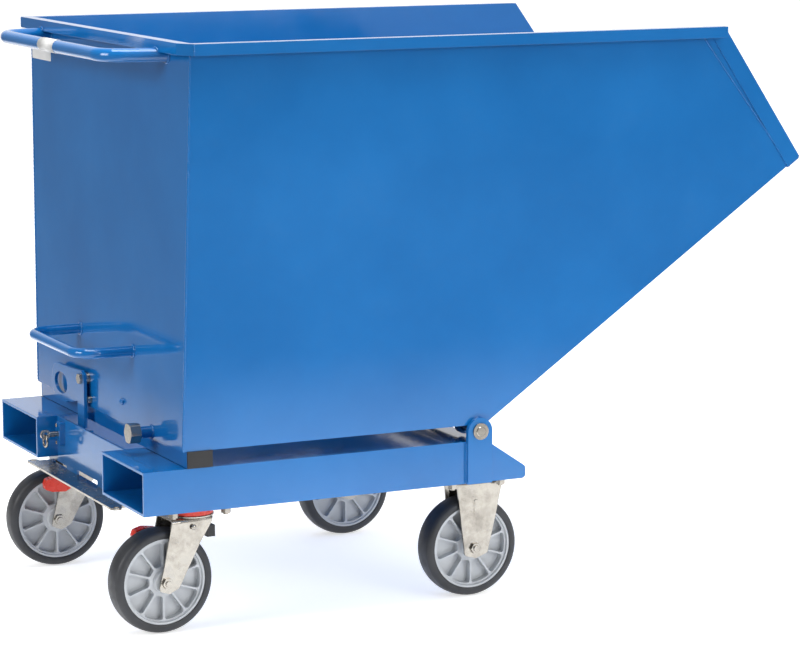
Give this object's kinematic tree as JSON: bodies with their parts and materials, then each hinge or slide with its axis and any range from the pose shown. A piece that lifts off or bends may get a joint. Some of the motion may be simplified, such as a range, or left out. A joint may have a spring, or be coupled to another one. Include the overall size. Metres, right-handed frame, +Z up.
{
  "type": "tipping skip trolley",
  "caption": "Sheet-steel tipping skip on a wheeled base with fork pockets, hand latch, drain cap, push handle and braked swivel castors.",
  "frame": {"origin": "on the floor, under the middle of the whole trolley", "axes": "+X from the push handle towards the pouring lip, +Y across, +Z up"},
  "size_m": [1.425, 0.903, 1.1099],
  "materials": {
    "blue_paint": "gloss powder coat",
    "zinc": "bright zinc plate",
    "tyre": "matt rubber",
    "grey_plastic": "moulded satin",
    "red_plastic": "moulded gloss",
    "black_plastic": "moulded matt"
  },
  "bodies": {
    "base": {"pocket_near": "blue_paint", "pocket_far": "blue_paint", "front_plate": "blue_paint", "rear_plate": "blue_paint", "front_flange": "zinc", "mount_plates": "blue_paint", "castor_bolts": "zinc", "hinge_ears": "blue_paint", "hinge_shaft": "zinc", "shaft_collars": "zinc", "latch_striker": "blue_paint", "plunger_block": "blue_paint", "castor_plates": "zinc", "fixed_forks": "zinc", "fixed_near_axle": "zinc", "fixed_far_axle": "zinc"},
    "trough": {"end_panel": "blue_paint", "side_near": "blue_paint", "side_far": "blue_paint", "floor_sheet": "blue_paint", "chute_sheet": "blue_paint", "lip_bar": "blue_paint", "lip_strips": "blue_paint", "rim_end": "blue_paint", "rim_sides": "blue_paint", "push_handle": "blue_paint", "tilt_handle": "blue_paint", "cross_tube": "blue_paint", "tube_caps": "black_plastic", "hinge_lugs": "blue_paint", "drain_stub": "blue_paint", "latch_bolt": "zinc"},
    "latch": {"latch_lever": "blue_paint"},
    "plunger": {"plunger_pin": "zinc"},
    "pull_ring": {"pull_ring": "zinc"},
    "drain_cap": {"drain_cap": "zinc"},
    "swivel_near": {"swivel_near_fork": "zinc", "swivel_near_race": "zinc", "swivel_near_seal": "red_plastic", "swivel_near_axle": "zinc", "swivel_near_brake_guide": "black_plastic"},
    "swivel_near_pedal": {"swivel_near_pedal": "red_plastic"},
    "swivel_near_wheel": {"swivel_near_tyre": "tyre", "swivel_near_disc": "grey_plastic", "swivel_near_sleeve": "zinc"},
    "swivel_far": {"swivel_far_fork": "zinc", "swivel_far_race": "zinc", "swivel_far_seal": "red_plastic", "swivel_far_axle": "zinc", "swivel_far_brake_guide": "black_plastic"},
    "swivel_far_pedal": {"swivel_far_pedal": "red_plastic"},
    "swivel_far_wheel": {"swivel_far_tyre": "tyre", "swivel_far_disc": "grey_plastic", "swivel_far_sleeve": "zinc"},
    "fixed_near_wheel": {"fixed_near_tyre": "tyre", "fixed_near_disc": "grey_plastic", "fixed_near_sleeve": "zinc"},
    "fixed_far_wheel": {"fixed_far_tyre": "tyre", "fixed_far_disc": "grey_plastic", "fixed_far_sleeve": "zinc"}
  },
  "joints": [
    {"name": "trough_tip", "type": "hinge", "parent": "base", "child": "trough", "pos_m": [0.0095, 0, 0.3505], "axis": [0, 1, 0], "range_deg": [0, 64]},
    {"name": "latch_lift", "type": "hinge", "parent": "trough", "child": "latch", "pos_m": [-0.60875, 0.1, 0.418], "axis": [1, 0, 0], "range_deg": [-9, 25]},
    {"name": "plunger_slide", "type": "slide", "parent": "base", "child": "plunger", "axis": [-1, 0, 0], "range_m": [-0.016, 0]},
    {"name": "ring_swing", "type": "hinge", "parent": "plunger", "child": "pull_ring", "pos_m": [-0.6695, 0.153, 0.3005], "axis": [0, 1, 0], "range_deg": [-10, 80]},
    {"name": "drain_cap_off", "type": "slide", "parent": "trough", "child": "drain_cap", "axis": [-1, 0, 0], "range_m": [0, 0.04]},
    {"name": "swivel_near_turn", "type": "hinge", "parent": "base", "child": "swivel_near", "pos_m": [-0.5375, -0.291, 0.226], "axis": [0, 0, 1], "continuous": true},
    {"name": "swivel_near_brake", "type": "hinge", "parent": "swivel_near", "child": "swivel_near_pedal", "pos_m": [-0.59078, -0.25534, 0.178], "axis": [0.0349, -0.9994, 0], "range_deg": [0, 12]},
    {"name": "swivel_near_roll", "type": "hinge", "parent": "swivel_near", "child": "swivel_near_wheel", "pos_m": [-0.60346, -0.2933, 0.1], "axis": [-0.0349, 0.9994, 0], "continuous": true},
    {"name": "swivel_far_turn", "type": "hinge", "parent": "base", "child": "swivel_far", "pos_m": [-0.5375, 0.291, 0.226], "axis": [0, 0, 1], "continuous": true},
    {"name": "swivel_far_brake", "type": "hinge", "parent": "swivel_far", "child": "swivel_far_pedal", "pos_m": [-0.59199, 0.25722, 0.178], "axis": [-0.0698, -0.9976, 0], "range_deg": [0, 12]},
    {"name": "swivel_far_roll", "type": "hinge", "parent": "swivel_far", "child": "swivel_far_wheel", "pos_m": [-0.60334, 0.2956, 0.1], "axis": [0.0698, 0.9976, 0], "continuous": true},
    {"name": "fixed_near_roll", "type": "hinge", "parent": "base", "child": "fixed_near_wheel", "pos_m": [0.0425, -0.291, 0.1], "axis": [0, 1, 0], "continuous": true},
    {"name": "fixed_far_roll", "type": "hinge", "parent": "base", "child": "fixed_far_wheel", "pos_m": [0.0425, 0.291, 0.1], "axis": [0, 1, 0], "continuous": true}
  ]
}
